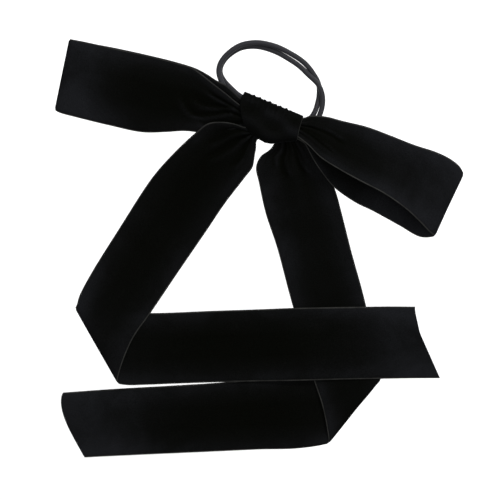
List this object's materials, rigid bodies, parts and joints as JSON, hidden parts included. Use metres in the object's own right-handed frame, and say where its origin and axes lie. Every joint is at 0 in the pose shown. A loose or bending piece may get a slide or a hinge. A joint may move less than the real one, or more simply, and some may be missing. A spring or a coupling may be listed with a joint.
{
  "type": "ribbon hair bow",
  "caption": "Velvet ribbon bow with two loops and two long tails round a wrapped knot, carried on a doubled elastic band that turns in the knot.",
  "frame": {"origin": "on the flat back of the knot, on the surface that the bow lies on, under the middle of the knot's front", "axes": "+Z out of the bow's front, away from the surface it lies on; +Y towards the elastic's side of the bow; +X along the bow towards its right loop as seen from the front; the knot, loops and elastic are drawn tilted 22.6 degrees clockwise from +X as the bow lies"},
  "size_m": [0.2157, 0.2202, 0.0135],
  "materials": {
    "velvet_ribbon": "matte black pile with a soft sheen at glancing angles, plain woven selvedges",
    "elastic_cover": "tightly braided nylon over rubber, slightly glossy",
    "elastic_collar": "satin",
    "thread": "twisted polyester sewing thread"
  },
  "bodies": {
    "knot": {"knot_wrap": "velvet_ribbon", "loop_waist": "velvet_ribbon", "tail_waist": "velvet_ribbon", "gathering_thread": "thread", "edge_stitch_1": "thread", "edge_stitch_2": "thread", "edge_stitch_3": "thread", "edge_stitch_4": "thread", "edge_stitch_5": "thread", "edge_stitch_6": "thread", "edge_stitch_7": "thread", "edge_stitch_8": "thread"},
    "left_loop": {"left_loop": "velvet_ribbon"},
    "right_loop": {"right_loop": "velvet_ribbon"},
    "tails": {"left_tail": "velvet_ribbon", "right_tail": "velvet_ribbon"},
    "elastic": {"elastic_cord": "elastic_cover", "elastic_joint": "elastic_collar"}
  },
  "joints": [
    {"name": "elastic_swing", "type": "hinge", "parent": "knot", "child": "elastic", "pos_m": [0.00096, 0.00231, 0.0043], "axis": [-0.9232, 0.3843, 0], "range_deg": [0, 90]},
    {"name": "left_loop_lift", "type": "hinge", "parent": "knot", "child": "left_loop", "pos_m": [-0.041, 0.0085, 0.0076], "axis": [0.2215, 0.9751, 0], "range_deg": [-30, 60]},
    {"name": "right_loop_lift", "type": "hinge", "parent": "knot", "child": "right_loop", "pos_m": [0.0185, -0.0066, 0.0102], "axis": [-0.4617, -0.887, 0], "range_deg": [0, 60]},
    {"name": "tails_swing", "type": "hinge", "parent": "knot", "child": "tails", "pos_m": [0, -0.0132, 0.0046], "axis": [1, 0, 0], "range_deg": [0, 70]}
  ]
}
